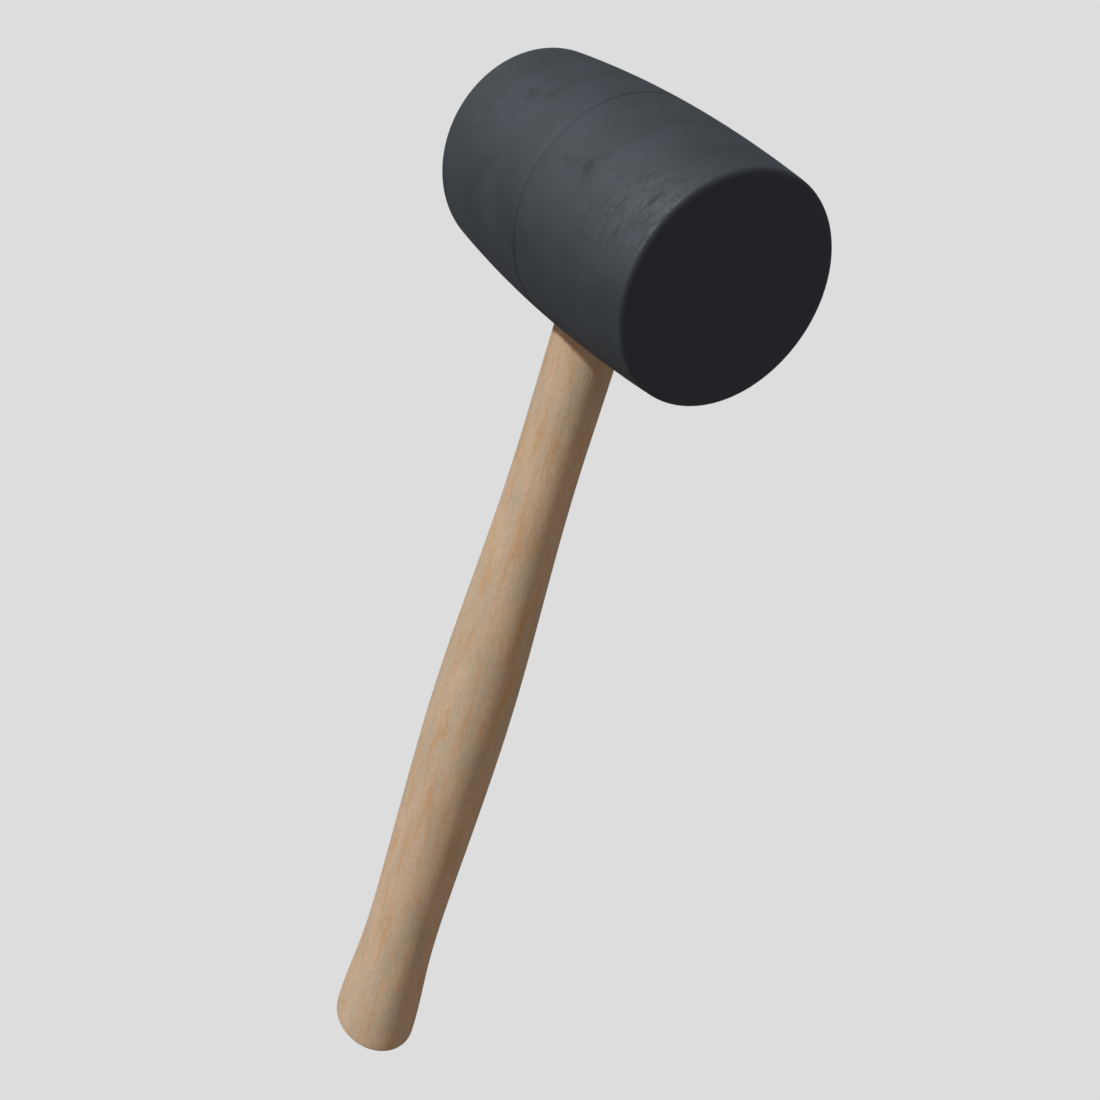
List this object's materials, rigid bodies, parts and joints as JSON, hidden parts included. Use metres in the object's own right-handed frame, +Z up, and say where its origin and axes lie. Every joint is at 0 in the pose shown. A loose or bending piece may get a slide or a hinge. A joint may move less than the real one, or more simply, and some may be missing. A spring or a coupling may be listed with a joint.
{
  "type": "rubber mallet",
  "caption": "Rubber mallet: a barrel-shaped moulded rubber head with two flat striking faces on an oval, waisted beech handle set in a blind eye.",
  "frame": {"origin": "centre of the handle's flat butt, the lowest point of the mallet", "axes": "+Z up the handle towards the head, +X along the head's axis towards one striking face, +Y across the head"},
  "size_m": [0.095, 0.064, 0.336],
  "materials": {
    "head_rubber": "satin",
    "handle_wood": "satin",
    "wedge_wood": "matte",
    "glue": "satin"
  },
  "bodies": {
    "root": {"rubber_head": "head_rubber", "handle": "handle_wood", "fox_wedge": "wedge_wood", "glue_bond": "glue"}
  },
  "joints": []
}
